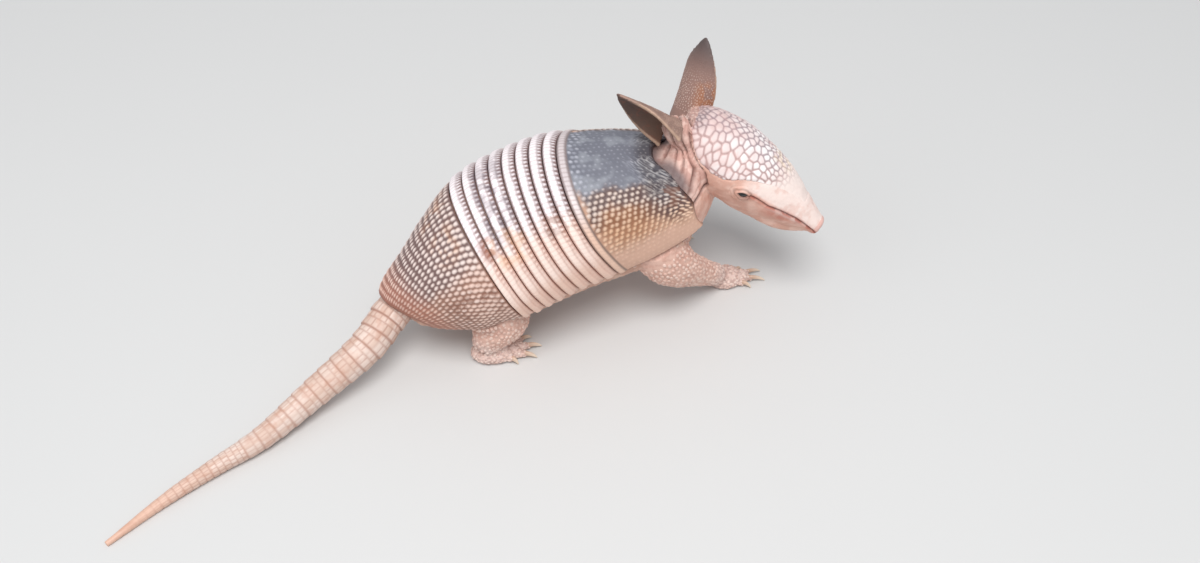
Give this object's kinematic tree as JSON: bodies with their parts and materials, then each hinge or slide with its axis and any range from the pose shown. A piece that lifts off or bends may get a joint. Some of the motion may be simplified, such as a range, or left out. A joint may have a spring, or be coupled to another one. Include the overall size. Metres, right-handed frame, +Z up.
{
  "type": "armadillo",
  "caption": "Young armadillo standing on its feet, body curved to its right, head lowered, ears up, jointed shell of bands between a shoulder and a hip shield, ringed tail trailed on the floor.",
  "frame": {"origin": "middle of the animal's outline seen from above, at the height of the floor under its feet", "axes": "+X forwards, the way the animal walks and along its longest extent, +Y to its left, +Z up"},
  "size_m": [0.1855, 0.1158, 0.0711],
  "materials": {
    "skin": "soft matte skin",
    "head_plate": "smooth satin horn over bone",
    "dark_plate": "satin horn over bone, slate grey on the back and tan below",
    "pale_plate": "satin horn over bone, pinkish white ribs with peach below",
    "tail_plate": "satin horn rings, cream pink",
    "ear": "dull leathery skin with fine scales",
    "nose": "slightly moist skin",
    "eye": "wet gloss",
    "paw": "matte scaly skin with pale claws"
  },
  "bodies": {
    "root": {"shell_hip": "pale_plate", "shell_band_8": "pale_plate", "shell_band_7": "pale_plate", "shell_band_6": "pale_plate", "shell_band_5": "pale_plate", "shell_band_4": "pale_plate", "shell_band_3": "pale_plate", "shell_band_2": "pale_plate", "shell_band_1": "pale_plate", "shell_shoulder": "dark_plate", "trunk": "skin", "neck": "skin", "head": "skin", "head_shield": "head_plate", "jaw": "skin", "nose": "nose", "eye_left": "eye", "eye_right": "eye", "ear_left": "ear", "ear_right": "ear", "tail_1": "tail_plate", "tail_2": "tail_plate", "tail_3": "tail_plate", "tail_4": "tail_plate", "foreleg_right": "skin", "forefoot_right": "paw", "foreleg_left": "skin", "forefoot_left": "paw", "hindleg_right": "skin", "hindfoot_right": "paw", "hindleg_left": "skin", "hindfoot_left": "paw"}
  },
  "joints": []
}
